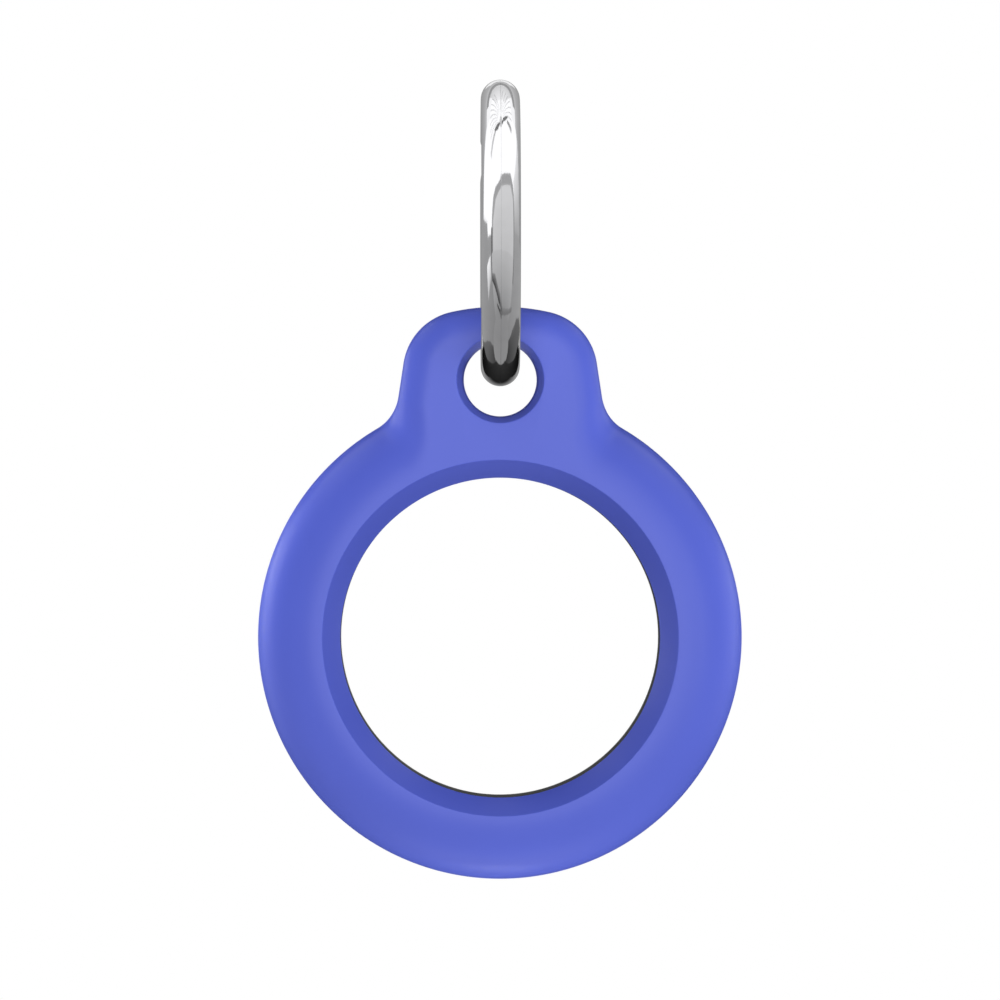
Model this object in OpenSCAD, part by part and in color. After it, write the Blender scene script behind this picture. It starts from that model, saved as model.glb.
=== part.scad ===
// Holder for a round tracker tag, hung on a split key ring.
// Millimetres. +X is right, +Y goes from the front face to the rear, +Z is up.
// The origin is the centre of the tag's pocket.

/* [Tag] */
// Diameter of the tag that the pocket holds
tag_d = 31.9; // [31:0.1:34]
// Thickness of the tag at its middle
tag_t = 8.0; // [7.4:0.1:9]
// Thickness of the tag where the lips hold it
tag_lip_t = 5.9; // [5.4:0.1:6.4]
// Height of the straight edge of the tag
tag_edge_t = 3.9; // [3.2:0.1:4.6]
// Gap round the tag
tag_clearance = 0.1; // [0.05:0.05:0.3]

/* [Body] */
// Radial thickness from the pocket to the outside
body_wall = 3.95; // [3.7:0.05:5]
// How far each rim stands proud of the tag
rim_guard = 1.3; // [1:0.1:1.8]
// How far each lip laps over the tag
lip_lap = 2.9; // [2:0.1:3.4]
// Width of the bevel round the window, seen from the front
bevel_w = 1.45; // [0.8:0.05:1.6]
// Height of the straight edge at the bottom of the bevel
lip_edge = 0.2; // [0.1:0.05:0.5]

/* [Lug] */
// Height of the lug's crown over the round body
lug_rise = 7.23; // [6.8:0.05:8.5]
// Thickness of the lug
lug_t = 5.0; // [4.4:0.1:5.2]
// Radius of the crown
crown_r = 18.7; // [14:0.1:30]
// Radius of the lug's two corners
corner_r = 5.07; // [4.4:0.05:5.6]
// Half the distance between the corners' centres
corner_x = 2.94; // [2.4:0.05:3.6]
// Lean of the lug's flanks, in degrees
flank_lean = 8.6; // [4:0.1:12]
// Radius of the shoulders between lug and body
shoulder_r = 3.6; // [2.6:0.1:5]
// Height of the hole's centre over the round body
hole_rise = 1.2; // [1.1:0.05:1.8]
// Diameter of the hole at its waist
hole_d = 5.96; // [5.4:0.02:6.2]
// Widening of the hole from its waist to its bevels
hole_draft = 0.18; // [0.1:0.01:0.2]
// Width of the bevel at the hole's mouths
hole_bevel_w = 0.41; // [0.3:0.01:0.6]
// Depth of the bevel at the hole's mouths
hole_bevel_depth = 0.7; // [0.4:0.05:1]

/* [Cap] */
// Wall of the cap's collar
collar_wall = 0.65; // [0.5:0.05:0.8]
// How far the collar's inside stands back from the pocket's wall
collar_setback = 0.2; // [0.1:0.05:0.3]
// How far the bayonet lugs stand out of the collar
bayonet_rise = 0.45; // [0.3:0.05:0.5]
// How far the flange of the cap stands out past its bayonet lugs
flange_step = 0.1; // [0.05:0.01:0.15]
// Thickness of the bayonet lugs
bayonet_t = 1.0; // [0.7:0.05:1.1]
// Width of each bayonet lug, in degrees
bayonet_span = 14; // [8:1:20]
// Side play of a bayonet lug in its slot, in degrees
bayonet_play = 1; // [0.5:0.5:2]
// Number of bayonet lugs
bayonet_count = 3; // [2:1:3]
// Angle of the first slot from +X, in degrees
bayonet_start = 10; // [5:1:15]
// Twist from open to locked, in degrees
twist = 40; // [20:1:44]
// Thickness of the ledge that the lugs lock behind
ledge_t = 1.1; // [0.8:0.05:1.2]
// Depth of the body's inner step behind the middle plane
step_depth = 0.3; // [0.1:0.05:0.4]
// Radial gap round the cap
cap_clearance = 0.1; // [0.05:0.01:0.15]
// Radial gap between the collar and the ledge
collar_clearance = 0.08; // [0.03:0.01:0.1]
// Gap along the axis between cap and body
cap_gap = 0.1; // [0.05:0.01:0.15]
// How far the cap's lip stands back behind the cushion
lip_setback = 0.2; // [0.1:0.05:0.3]

/* [Cushion] */
// Thickness of the cushion at its inner edge
cushion_t = 0.5; // [0.3:0.05:0.6]
// How far the cushion stands back behind the window's edge
cushion_setback = 0.03; // [0:0.01:0.1]
// Gap between the cushion and the cap
cushion_gap = 0.08; // [0.05:0.01:0.1]

/* [Key ring] */
// Outer diameter of the ring
ring_d = 25.2; // [23:0.1:30]
// Diameter of the two turns together
wire_d = 3.2; // [2.8:0.1:3.4]
// Gap between the two turns
coil_gap = 0.06; // [0.04:0.01:0.2]
// Length over which the wire crosses from one turn to the other
crossing = 4.2; // [3.6:0.1:6]
// Place of the crossing, in degrees up from the rear
crossing_angle = 35; // [0:5:60]
// Gap between the wire and the hole it hangs in
ring_clearance = 0.3; // [0.2:0.05:0.4]

/* [Hidden] */
$fn = 96;
blue = [0.40, 0.46, 0.86];
charcoal = [0.20, 0.20, 0.19];
steel = [0.80, 0.80, 0.82];
// How far cuts and joins run past the faces that they meet
overrun = 0.7;

// The body and its pocket
pocket_r = tag_d / 2 + tag_clearance;
body_r = pocket_r + body_wall;
face_z = tag_t / 2 + rim_guard;
dome_r = face_z;
dome_mid = body_r - dome_r;
window_r = pocket_r - lip_lap;
rim_r = window_r + bevel_w;
lip_z = tag_lip_t / 2;
edge_z = tag_edge_t / 2;
core_r = window_r - overrun;

// The lug's outline: centres of its arcs, and the angles at which they meet
crown_y = body_r + lug_rise - crown_r;
corner_y = crown_y + sqrt(pow(crown_r - corner_r, 2) - pow(corner_x, 2));
corner = [corner_x, corner_y];
crown_turn = atan2(corner_y - crown_y, corner_x);
flank_in = [-cos(flank_lean), -sin(flank_lean)];
flank_down = [sin(flank_lean), -cos(flank_lean)];
shoulder_far = corner - (corner_r + shoulder_r) * flank_in;
shoulder_reach = shoulder_far * flank_down;
shoulder_drop = pow(shoulder_reach, 2) + pow(body_r + shoulder_r, 2) - shoulder_far * shoulder_far;
shoulder = shoulder_far - (shoulder_reach + sqrt(shoulder_drop)) * flank_down;
shoulder_turn = atan2(shoulder[1], shoulder[0]);
nose_r = lug_t / 2;
lug_mid_z = face_z - nose_r;
lug_rear_z = face_z - lug_t;
// How far outside the round body the lug's flat back ends
root_edge = 0.01;

// The hole in the lug
hole_y = body_r + hole_rise;
hole_r = hole_d / 2;
hole_mouth_r = hole_r + hole_draft;
hole_rim_r = hole_mouth_r + hole_bevel_w;

// The cap and the steps that it fits, from the pocket rearwards
collar_in_r = pocket_r + collar_setback;
collar_r = collar_in_r + collar_wall;
bayonet_r = collar_r + bayonet_rise;
groove_r = bayonet_r + cap_clearance;
cap_r = bayonet_r + flange_step;
recess_r = cap_r + cap_clearance;
ledge_r = collar_r + collar_clearance;
step_z = -step_depth;
collar_z = step_z - cap_gap;
bayonet_z = collar_z - bayonet_t;
ledge_z = bayonet_z - cap_gap;
recess_z = ledge_z - ledge_t;
flange_z = recess_z - cap_gap;
cap_window_r = window_r + lip_setback;

// The cushion
cushion_in_r = window_r + cushion_setback;
cushion_out_r = pocket_r - tag_clearance;
cushion_z = -lip_z - cushion_t;
seat_z = cushion_z - cushion_gap;

// The key ring
wire_r = wire_d / 2;
ring_mid_r = ring_d / 2 - wire_r;
wire_y = hole_y + hole_r - ring_clearance - wire_r;
ring_y = wire_y + ring_mid_r;

// Steps of the body's skin: along its outline, then across its section
shoulder_steps = 9;
corner_steps = 7;
crown_steps = 3;
body_steps = 60;
front_steps = 8;
nose_steps = 4;
dome_steps = 5;

function turn(a) = [cos(a), sin(a)];
function at(p, z) = [p[0], p[1], z];
function ease(t) = t * t * (3 - 2 * t);
function mix(a, b, t) = a * (1 - t) + b * t;
function flip(p) = [-p[0], p[1]];
// Height of the tag's sloping face, on which the lips rest, at radius r
function slope_z(r) = mix(edge_z, lip_z, (pocket_r - r) / lip_lap);

// Turns a shape drawn in the front view, with z towards the viewer, upright
module upright() rotate([90, 0, 0]) children();

// Stations along the holder's outline, anticlockwise in the front view: up the right half of
// the lug, down its left half, and round the body.
// Each station is [point, direction inwards, share of the lug's own edge].
right_stations = concat(
    [for (i = [0:shoulder_steps])
        let (s = i / shoulder_steps)
        let (a = mix(180 + shoulder_turn, 180 + flank_lean, s))
        [shoulder + shoulder_r * turn(a), turn(a), ease(s)]],
    [for (i = [0:corner_steps])
        let (a = mix(flank_lean, crown_turn, i / corner_steps))
        [corner + corner_r * turn(a), -turn(a), 1]],
    [for (i = [1:crown_steps])
        let (a = mix(crown_turn, 90, i / crown_steps))
        [[0, crown_y] + crown_r * turn(a), -turn(a), 1]]
);
last_right = len(right_stations) - 1;
stations = concat(
    right_stations,
    [for (i = [1:last_right])
        let (s = right_stations[last_right - i])
        [flip(s[0]), flip(s[1]), s[2]]],
    [for (i = [1:body_steps - 1])
        let (a = mix(180 - shoulder_turn, 360 + shoulder_turn, i / body_steps))
        [body_r * turn(a), -turn(a), 0]]
);

// Radius of the front edge's rounding, and height of the outline, at a station
function round_w(s) = mix(dome_r, nose_r, s[2]);
function outline_z(s) = mix(0, lug_mid_z, s[2]);
function station_turn(s) = let (p = s[0] + round_w(s) * s[1]) atan2(p[1], p[0]);

// Points of the front edge, from the flat face out to the outline
function front_points(s) = [for (k = [0:front_steps])
    let (a = 90 * (1 - k / front_steps))
    at(s[0] + round_w(s) * (1 - cos(a)) * s[1], mix(outline_z(s), face_z, sin(a)))];

// A station's way over the rear: in plan it runs straight from the outline to the top of the dome.
// It is walked in shares from 0 to 1.
function way(s) = dome_mid * turn(station_turn(s)) - s[0];
// Share at which the way comes in to radius r
function share_at(s, r) =
    let (w = way(s), b = s[0] * w, c = s[0] * s[0] - r * r)
    max(0, (-b - sqrt(b * b - w * w * c)) / (w * w));

// Shares where the section is the round body's own
function body_shares() = [for (k = [1:nose_steps + 1 + dome_steps])
    1 - cos(90 * k / (nose_steps + 1 + dome_steps))];

// Shares at the lug: its rounded edge, the root of its flat back, and the body's dome
function lug_shares(s) =
    let (root = share_at(s, body_r + root_edge), nose = min(nose_r / norm(way(s)), root))
    concat(
        [for (k = [1:nose_steps]) nose * (1 - cos(90 * k / nose_steps))],
        [root],
        [for (k = [1:dome_steps]) share_at(s, dome_mid + dome_r * cos(90 * k / dome_steps))]
    );

// Height of the rear side at a share: that of the lug or of the dome, whichever stands out further
function rear_z(s, share) =
    let (w = round_w(s), r = norm(s[0] + share * way(s)))
    let (left = max(0, 1 - share * norm(way(s)) / w), lug_z = outline_z(s) - w * sqrt(1 - left * left))
    r < body_r ? min(lug_z, -sqrt(pow(dome_r, 2) - pow(r - dome_mid, 2))) : lug_z;

// Points of the rear side, from the outline to the top of the dome
function rear_points(s) = [for (share = mix(body_shares(), lug_shares(s), s[2]))
    at(s[0] + share * way(s), rear_z(s, share))];

// The whole section at a station, as a closed loop
function section(s) = let (out = core_r * turn(station_turn(s))) concat(
    [at(out, face_z)],
    front_points(s),
    rear_points(s),
    [at(out, -face_z)]
);

// The outside of the body and its lug, skinned over the sections of all stations
module body_skin() {
    sections = [for (s = stations) section(s)];
    n = len(sections[0]);
    m = len(sections);
    sides = [for (i = [0:m - 1], k = [0:n - 1])
        let (j = (i + 1) % m, l = (k + 1) % n)
        each [[i * n + k, j * n + l, i * n + l], [i * n + k, j * n + k, j * n + l]]];
    polyhedron([for (s = sections) each s], sides);
}

// Everything that is cut out round the body's axis
module body_cavity() {
    bevel_slope = bevel_w / (face_z - lip_z - lip_edge);
    rotate_extrude() polygon([
        [0, face_z + overrun],
        [rim_r + overrun * bevel_slope, face_z + overrun],
        [window_r, lip_z + lip_edge],
        [window_r, lip_z],
        [pocket_r, edge_z],
        [pocket_r, step_z],
        [ledge_r, step_z],
        [ledge_r, recess_z],
        [recess_r, recess_z],
        [recess_r, -face_z - overrun],
        [0, -face_z - overrun]
    ]);
}

// A block that follows the body's axis, from radius r0 to r1, z0 to z1 and a0 to a1
module arc_block(r0, r1, z0, z1, a0, a1)
    rotate([0, 0, a0]) rotate_extrude(angle = a1 - a0)
        translate([r0, z0]) square([r1 - r0, z1 - z0]);

// Entry slots and locking grooves of the bayonet
module bayonet_grooves() {
    half = bayonet_span / 2 + bayonet_play;
    for (i = [0:bayonet_count - 1]) {
        a = bayonet_start + i * 360 / bayonet_count;
        arc_block(collar_r, groove_r, ledge_z, step_z, a - half, a + twist + half);
        arc_block(collar_r, groove_r, recess_z - cap_gap, step_z, a - half, a + half);
    }
}

// The lug's hole: bevelled at both faces, narrowest at its waist, and clear through behind
module lug_hole() {
    translate([0, hole_y, 0]) rotate_extrude() polygon([
        [0, face_z + overrun],
        [hole_rim_r, face_z + overrun],
        [hole_rim_r, face_z],
        [hole_mouth_r, face_z - hole_bevel_depth],
        [hole_r, lug_mid_z],
        [hole_mouth_r, lug_rear_z + hole_bevel_depth],
        [hole_rim_r, lug_rear_z],
        [hole_mouth_r, lug_rear_z],
        [hole_mouth_r, -face_z - overrun],
        [0, -face_z - overrun]
    ]);
}

module body_shell() color(blue) upright() difference() {
    body_skin();
    body_cavity();
    bayonet_grooves();
    lug_hole();
}

module rear_cap() color(blue) upright() {
    bevel_slope = (rim_r - cap_window_r) / (face_z + seat_z - lip_edge);
    rotate_extrude() intersection() {
        translate([dome_mid, 0]) circle(dome_r);
        polygon([
            [collar_in_r, collar_z],
            [collar_r, collar_z],
            [collar_r, flange_z],
            [cap_r, flange_z],
            [cap_r, -face_z - overrun],
            [rim_r + overrun * bevel_slope, -face_z - overrun],
            [cap_window_r, seat_z - lip_edge],
            [cap_window_r, seat_z],
            [collar_in_r, seat_z]
        ]);
    }
    for (i = [0:bayonet_count - 1]) {
        a = bayonet_start + i * 360 / bayonet_count;
        arc_block(collar_r - collar_wall / 2, bayonet_r, bayonet_z, collar_z,
            a - bayonet_span / 2, a + bayonet_span / 2);
    }
}

module cushion_ring() color(charcoal) upright() rotate_extrude() polygon([
    [cushion_in_r, -slope_z(cushion_in_r)],
    [cushion_out_r, -slope_z(cushion_out_r)],
    [cushion_out_r, cushion_z],
    [cushion_in_r, cushion_z]
]);

// One of the two notches beside the crossing wire, drawn along the wire and across it
module crossing_notch() {
    rotate([90, 0, 90]) translate([0, 0, ring_mid_r - wire_r - overrun])
        linear_extrude(wire_d + 2 * overrun) polygon([
            [-crossing / 2, -wire_r],
            [-crossing / 2, -wire_r - overrun],
            [crossing / 2, -wire_r - overrun],
            [crossing / 2, coil_gap / 2]
        ]);
}

// The cut that parts the wire's two turns all round, but for the crossing
module coil_cut() difference() {
    rotate_extrude()
        translate([ring_mid_r - wire_r - overrun, -coil_gap / 2])
            square([wire_d + 2 * overrun, coil_gap]);
    translate([0, -crossing / 2, -wire_r])
        cube([ring_d, crossing, wire_d]);
}

module key_ring() color(steel)
    translate([0, -lug_mid_z, ring_y]) rotate([90, 0, 90]) rotate([0, 0, crossing_angle])
        difference() {
            rotate_extrude() translate([ring_mid_r, 0]) circle(wire_r);
            coil_cut();
            crossing_notch();
            rotate([180, 0, 0]) crossing_notch();
        }

body_shell();
rear_cap();
cushion_ring();
key_ring();
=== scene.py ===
"""Looks of the round tracker tag holder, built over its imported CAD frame.

The frame is the CAD's: +X right, +Y from the front face to the rear, +Z up, with the origin in the centre of
the tag's pocket. Objects are in metres. The sizes of the pieces' classes are in millimetres, as in the part's
source, and MM turns them into metres where a mesh is made.

The moulded pieces are drawn in the front view: x to the right, y up and z towards the viewer. front_to_world
turns that view upright.
"""

import logging
import math
from dataclasses import dataclass, replace
from enum import Enum

import bmesh
import bpy
from mathutils import Matrix, Vector


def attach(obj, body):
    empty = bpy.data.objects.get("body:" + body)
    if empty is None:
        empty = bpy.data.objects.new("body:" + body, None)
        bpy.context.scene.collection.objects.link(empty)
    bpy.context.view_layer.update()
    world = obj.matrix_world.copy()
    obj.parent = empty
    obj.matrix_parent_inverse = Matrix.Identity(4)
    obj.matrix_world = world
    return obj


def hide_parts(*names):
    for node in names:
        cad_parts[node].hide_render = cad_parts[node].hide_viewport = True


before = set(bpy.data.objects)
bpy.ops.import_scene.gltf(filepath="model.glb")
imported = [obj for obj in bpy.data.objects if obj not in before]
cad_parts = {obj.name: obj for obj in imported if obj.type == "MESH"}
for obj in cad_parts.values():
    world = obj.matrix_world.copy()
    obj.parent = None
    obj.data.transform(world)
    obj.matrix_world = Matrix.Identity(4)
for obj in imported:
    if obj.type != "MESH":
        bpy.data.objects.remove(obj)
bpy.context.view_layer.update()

LOG = logging.getLogger("tag_holder")
MM = 0.001
# Steps round the body's axis.
TURN_STEPS = 256
# Share of an edge that the rounding of one of its corners may take up.
MOST_OF_EDGE = 0.48
# Edges in the rounding of a hidden corner, of a small one and of a rim.
HIDDEN_STEPS, SMALL_STEPS, RIM_STEPS = 2, 3, 6
# Values of a noise at which a tint is at its darkest and at its lightest.
NOISE_DARK, NOISE_LIGHT = 0.25, 0.75
BLACK = (0.0, 0.0, 0.0, 1.0)
WHITE = (1.0, 1.0, 1.0, 1.0)

Point2 = tuple[float, float]
Point3 = tuple[float, float, float]
Colour = tuple[float, float, float]
Face = tuple[int, ...]

# The point that most lamps face.
MIDDLE: Point3 = (0.0, 0.0, 0.01)


class CadBody(Enum):
    """Bodies of the frame that the pieces ride on."""

    RING = "ring"
    SHELL = "shell"
    CUSHION = "cushion"
    CAP = "cap"


class FinishSlot(Enum):
    """Material slots of the record."""

    MOULDED = "moulded_body"
    PAD = "soft_pad"
    STEEL = "ring_steel"


class Joining(Enum):
    """Ways to combine a piece with a tool."""

    CUT = "DIFFERENCE"
    ADD = "UNION"


class Coordinates(Enum):
    """What a texture's place is measured on."""

    OBJECT = "Object"
    UNROLLED = "UV"


class LampShape(Enum):
    """Outlines of a lamp."""

    SQUARE = "RECTANGLE"
    ROUND = "ELLIPSE"


def mix(a: float, b: float, share: float) -> float:
    """Value that lies share of the way from a to b."""
    return a * (1 - share) + b * share


def ease(t: float) -> float:
    """Smooth step from 0 to 1."""
    return t * t * (3 - 2 * t)


def inset(degrees: float) -> float:
    """How far a round edge of radius 1 has come in from its outline after that turn."""
    return 1 - math.cos(math.radians(degrees))


def unit(degrees: float) -> Vector:
    """Unit vector in the plane at that angle from +X."""
    a = math.radians(degrees)
    return Vector((math.cos(a), math.sin(a)))


def angle_of(p: Vector) -> float:
    """Angle of a plane point from +X, in degrees."""
    return math.degrees(math.atan2(p.y, p.x))


@dataclass(frozen=True)
class Corner:
    """A corner of a drawn outline.

    Attributes:
        r: Distance from the axis.
        z: Height along the axis.
        radius: Radius of its rounding; 0 leaves it sharp.
        steps: Number of edges in the rounding.
    """

    r: float
    z: float
    radius: float = 0.0
    steps: int = 4


def rounded(corners: list[Corner], closed: bool = True) -> list[Point2]:
    """Draws an outline through corners, with each rounded to its radius.

    Args:
        corners: The corners in order.
        closed: Whether the last corner joins the first.

    Returns:
        The outline's points.
    """
    points: list[Point2] = []
    count = len(corners)
    for i, corner in enumerate(corners):
        here = Vector((corner.r, corner.z))
        at_end = not closed and i in (0, count - 1)
        if corner.radius <= 0 or at_end:
            points.append((here.x, here.y))
            continue
        before = Vector((corners[i - 1].r, corners[i - 1].z))
        after = Vector((corners[(i + 1) % count].r, corners[(i + 1) % count].z))
        back = (before - here).normalized()
        on = (after - here).normalized()
        half = math.acos(max(-1.0, min(1.0, back.dot(on)))) / 2
        reach = corner.radius / math.tan(half)
        reach = min(reach, (before - here).length * MOST_OF_EDGE, (after - here).length * MOST_OF_EDGE)
        radius = reach * math.tan(half)
        centre = here + (back + on).normalized() * (radius / math.sin(half))
        start = (here + back * reach) - centre
        turn = start.angle_signed(here + on * reach - centre)
        for k in range(corner.steps + 1):
            a = -turn * k / corner.steps
            p = centre + Matrix.Rotation(a, 2) @ start
            points.append((p.x, p.y))
    return points


def front_to_world(p: Point3) -> Vector:
    """Turns a point of the front view, in millimetres, into one of the frame, in metres."""
    return Vector((p[0], -p[2], p[1])) * MM


def mesh_object(name: str, points: list[Vector], faces: list[Face]) -> bpy.types.Object:
    """Makes a mesh object with its faces turned outwards.

    Args:
        name: The object's name.
        points: Its vertices.
        faces: Its faces, as vertex numbers.

    Returns:
        The new object, linked to the scene.
    """
    mesh = bpy.data.meshes.new(name)
    mesh.from_pydata([tuple(p) for p in points], [], faces)
    work = bmesh.new()
    work.from_mesh(mesh)
    bmesh.ops.recalc_face_normals(work, faces=work.faces)
    work.to_mesh(mesh)
    work.free()
    obj = bpy.data.objects.new(name, mesh)
    bpy.context.scene.collection.objects.link(obj)
    return obj


def grid_faces(rings: int, points: int, joined: bool, loops: bool) -> list[Face]:
    """Faces between rings of points, or between open rows of them.

    Args:
        rings: Number of rings or rows.
        points: Number of points in each.
        joined: Whether the last ring joins the first.
        loops: Whether the last point of a ring joins its first.

    Returns:
        Four-sided faces.
    """
    faces: list[Face] = []
    for i in range(rings if joined else rings - 1):
        j = (i + 1) % rings
        for k in range(points if loops else points - 1):
            m = (k + 1) % points
            faces.append((i * points + k, j * points + k, j * points + m, i * points + m))
    return faces


def end_faces(rings: int, points: int) -> list[Face]:
    """Faces that close the first and the last ring of a bar."""
    last = (rings - 1) * points
    return [tuple(range(points)), tuple(last + k for k in reversed(range(points)))]


def turned(profile: list[Point2], steps: int, centre: Point2 = (0.0, 0.0)) -> list[Vector]:
    """Repeats a profile round an axis that runs from front to rear.

    Args:
        profile: Points (radius, height) in millimetres.
        steps: Number of steps round the axis.
        centre: Where the axis stands in the front view.

    Returns:
        The points of every copy in turn, in metres.
    """
    points: list[Vector] = []
    for i in range(steps):
        out = unit(360 * i / steps)
        for r, z in profile:
            points.append(front_to_world((centre[0] + r * out.x, centre[1] + r * out.y, z)))
    return points


def lathe(name: str, profile: list[Point2]) -> bpy.types.Object:
    """Turns a closed profile round the body's axis."""
    return mesh_object(name, turned(profile, TURN_STEPS), grid_faces(TURN_STEPS, len(profile), True, True))


def plug(name: str, profile: list[Point2], steps: int, centre: Point2) -> bpy.types.Object:
    """Turns an open profile into a solid tool, with a flat face at either end.

    Args:
        name: The object's name.
        profile: Points (radius, height) in millimetres.
        steps: Number of steps round the axis.
        centre: Where the axis stands in the front view.

    Returns:
        The new object.
    """
    rows = len(profile)
    faces = grid_faces(steps, rows, True, False)
    faces.append(tuple(i * rows for i in range(steps)))
    faces.append(tuple(i * rows + rows - 1 for i in reversed(range(steps))))
    return mesh_object(name, turned(profile, steps, centre), faces)


def arc_block(name: str, radii: Point2, heights: Point2, angles: Point2, steps: int) -> bpy.types.Object:
    """Makes a block that follows the body's axis.

    Args:
        name: The object's name.
        radii: Its inner and outer radius.
        heights: Its lower and upper height in the front view.
        angles: Its first and last angle, in degrees.
        steps: Number of steps along the arc.

    Returns:
        The new object.
    """
    section = [(radii[0], heights[0]), (radii[1], heights[0]), (radii[1], heights[1]), (radii[0], heights[1])]
    points: list[Vector] = []
    for i in range(steps + 1):
        out = unit(mix(angles[0], angles[1], i / steps))
        points += [front_to_world((r * out.x, r * out.y, z)) for r, z in section]
    faces = grid_faces(steps + 1, len(section), False, True) + end_faces(steps + 1, len(section))
    return mesh_object(name, points, faces)


def combine(obj: bpy.types.Object, tool: bpy.types.Object, way: Joining) -> None:
    """Cuts a tool out of an object, or joins it on, and removes the tool.

    Args:
        obj: The object that changes.
        tool: The object that is cut out or joined on.
        way: Which of the two.
    """
    modifier = obj.modifiers.new("combine", "BOOLEAN")
    modifier.operation = way.value
    modifier.solver = "EXACT"
    modifier.object = tool
    bpy.context.view_layer.update()
    graph = bpy.context.evaluated_depsgraph_get()
    done = bpy.data.meshes.new_from_object(obj.evaluated_get(graph))
    obj.modifiers.clear()
    old = obj.data
    done.name = old.name
    obj.data = done
    bpy.data.meshes.remove(old)
    bpy.data.objects.remove(tool)


def smooth(obj: bpy.types.Object, sharpest: float) -> None:
    """Shades an object smooth, but for its sharp edges.

    Args:
        obj: The object.
        sharpest: Angle from which an edge stays sharp, in degrees.
    """
    obj.data.polygons.foreach_set("use_smooth", [True] * len(obj.data.polygons))
    obj.data.set_sharp_from_angle(angle=math.radians(sharpest))
    obj.data.update()


@dataclass(frozen=True)
class Texture:
    """A noise and the bump that it makes.

    Attributes:
        size: Size of its forms, in metres, or in the units of an unrolled surface.
        octaves: Number of octaves.
        keep: Share that each octave keeps.
        depth: Depth of its bump, in metres.
        strength: How strongly its bump acts.
    """

    size: float
    octaves: float
    keep: float
    depth: float = 0.0
    strength: float = 0.0


class NodeSheet:
    """A node tree, with short ways to add and join nodes."""

    def __init__(self, tree: bpy.types.NodeTree) -> None:
        """Takes a tree and clears it."""
        self.tree = tree
        self.tree.nodes.clear()

    def add(self, kind: str, values: dict[str, object] | None = None, **settings: object) -> bpy.types.Node:
        """Adds a node.

        Args:
            kind: The node's type.
            values: Plain values of its inputs.
            **settings: Values of its properties.

        Returns:
            The node.
        """
        node = self.tree.nodes.new(kind)
        for key, value in settings.items():
            setattr(node, key, value)
        self.fill(node, values or {})
        return node

    def fill(self, node: bpy.types.Node, values: dict[str, object]) -> None:
        """Gives plain values to a node's inputs."""
        for key, value in values.items():
            node.inputs[key].default_value = value

    def join(self, source: bpy.types.Node, out: str | int, target: bpy.types.Node, into: str | int) -> None:
        """Joins a node's output to another's input."""
        self.tree.links.new(source.outputs[out], target.inputs[into])

    def level(self, as_light: float, as_seen: float) -> bpy.types.Node:
        """Adds a level that is one for the light on other things and another where it is seen.

        Args:
            as_light: The level of its light on other things.
            as_seen: The level that the camera, a mirror or glass shows.

        Returns:
            The node that has the level as its Result.
        """
        path = self.add("ShaderNodeLightPath")
        last, out = path, "Is Camera Ray"
        for other in ("Is Glossy Ray", "Is Transmission Ray"):
            either = self.add("ShaderNodeMath", operation="MAXIMUM")
            self.join(last, out, either, 0)
            self.join(path, other, either, 1)
            last, out = either, 0
        node = self.add("ShaderNodeMapRange", {"To Min": as_light, "To Max": as_seen})
        self.join(last, out, node, "Value")
        return node


class FinishSheet(NodeSheet):
    """A material's node tree, with its shader and ways to give it a finish."""

    def __init__(self, name: str) -> None:
        """Makes a material that has its shader and output alone.

        Args:
            name: The material's name.
        """
        self.material = bpy.data.materials.new(name)
        self.material.use_nodes = True
        super().__init__(self.material.node_tree)
        self.shader = self.add("ShaderNodeBsdfPrincipled")
        self.join(self.shader, "BSDF", self.add("ShaderNodeOutputMaterial"), "Surface")

    def place(self, scale: Point3 = (1.0, 1.0, 1.0), on: Coordinates = Coordinates.OBJECT) -> bpy.types.Node:
        """Adds scaled coordinates of the surface.

        Args:
            scale: How far each coordinate is stretched.
            on: What they are measured on.

        Returns:
            The node that has them as its Vector.
        """
        mapping = self.add("ShaderNodeMapping", {"Scale": scale})
        self.join(self.add("ShaderNodeTexCoord"), on.value, mapping, "Vector")
        return mapping

    def noise(self, place: bpy.types.Node, texture: Texture) -> bpy.types.Node:
        """Adds a noise texture.

        Args:
            place: The node that gives its coordinates.
            texture: Its size and make-up.

        Returns:
            The node.
        """
        values = {"Scale": 1 / texture.size, "Detail": texture.octaves, "Roughness": texture.keep}
        node = self.add("ShaderNodeTexNoise", values)
        self.join(place, "Vector", node, "Vector")
        return node

    def tint(self, source: bpy.types.Node, colour: Colour, darkest: float, lightest: float) -> None:
        """Colours the surface, a little darker and lighter from place to place.

        Args:
            source: The texture that says where.
            colour: The linear colour.
            darkest: Share of the colour at its darkest.
            lightest: Share of the colour at its lightest.
        """
        ramp = self.add("ShaderNodeValToRGB")
        ends = ((NOISE_DARK, darkest), (NOISE_LIGHT, lightest))
        for element, (position, share) in zip(ramp.color_ramp.elements, ends):
            element.position = position
            element.color = (*shade(colour, share), 1.0)
        self.join(source, "Fac", ramp, "Fac")
        self.join(ramp, "Color", self.shader, "Base Color")

    def roughen(self, source: bpy.types.Node, middle: float, spread: float) -> None:
        """Sets the roughness, which goes up and down with a texture.

        Args:
            source: The texture.
            middle: Middle roughness.
            spread: How far it goes either way.
        """
        node = self.add("ShaderNodeMapRange", {"To Min": middle - spread, "To Max": middle + spread})
        self.join(source, "Fac", node, "Value")
        self.join(node, "Result", self.shader, "Roughness")

    def relief(self, bumps: list[tuple[bpy.types.Node, Texture]]) -> None:
        """Adds bumps to the surface, each over the one before.

        Args:
            bumps: Noise nodes, each with its texture.
        """
        target = self.shader
        for source, texture in reversed(bumps):
            bump = self.add("ShaderNodeBump", {"Strength": texture.strength, "Distance": texture.depth})
            self.join(source, "Fac", bump, "Height")
            self.join(bump, "Normal", target, "Normal")
            target = bump


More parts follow.
